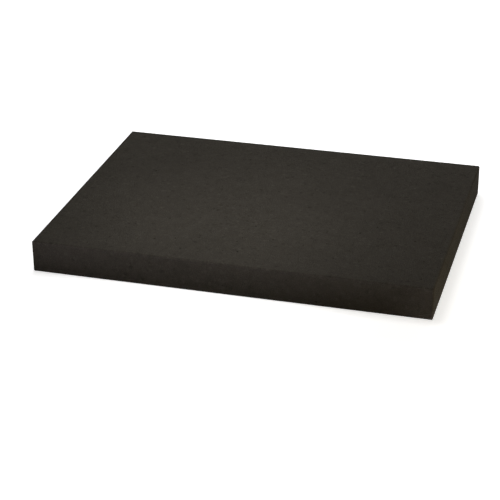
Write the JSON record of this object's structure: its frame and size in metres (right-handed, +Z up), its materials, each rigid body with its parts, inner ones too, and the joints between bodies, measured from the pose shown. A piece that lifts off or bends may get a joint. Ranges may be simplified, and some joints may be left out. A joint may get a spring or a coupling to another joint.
{
  "type": "cellular glass insulation board",
  "caption": "Rigid flat rectangular slab of dark foamed glass with sawn, open-celled faces and lightly broken arrises, laid or bonded as thermal insulation.",
  "frame": {"origin": "centre of the underside", "axes": "+X along the length, +Y along the width, +Z up through the thickness"},
  "size_m": [0.6, 0.45, 0.05],
  "materials": {
    "cellular_glass": "matte"
  },
  "bodies": {
    "root": {"board": "cellular_glass"}
  },
  "joints": []
}
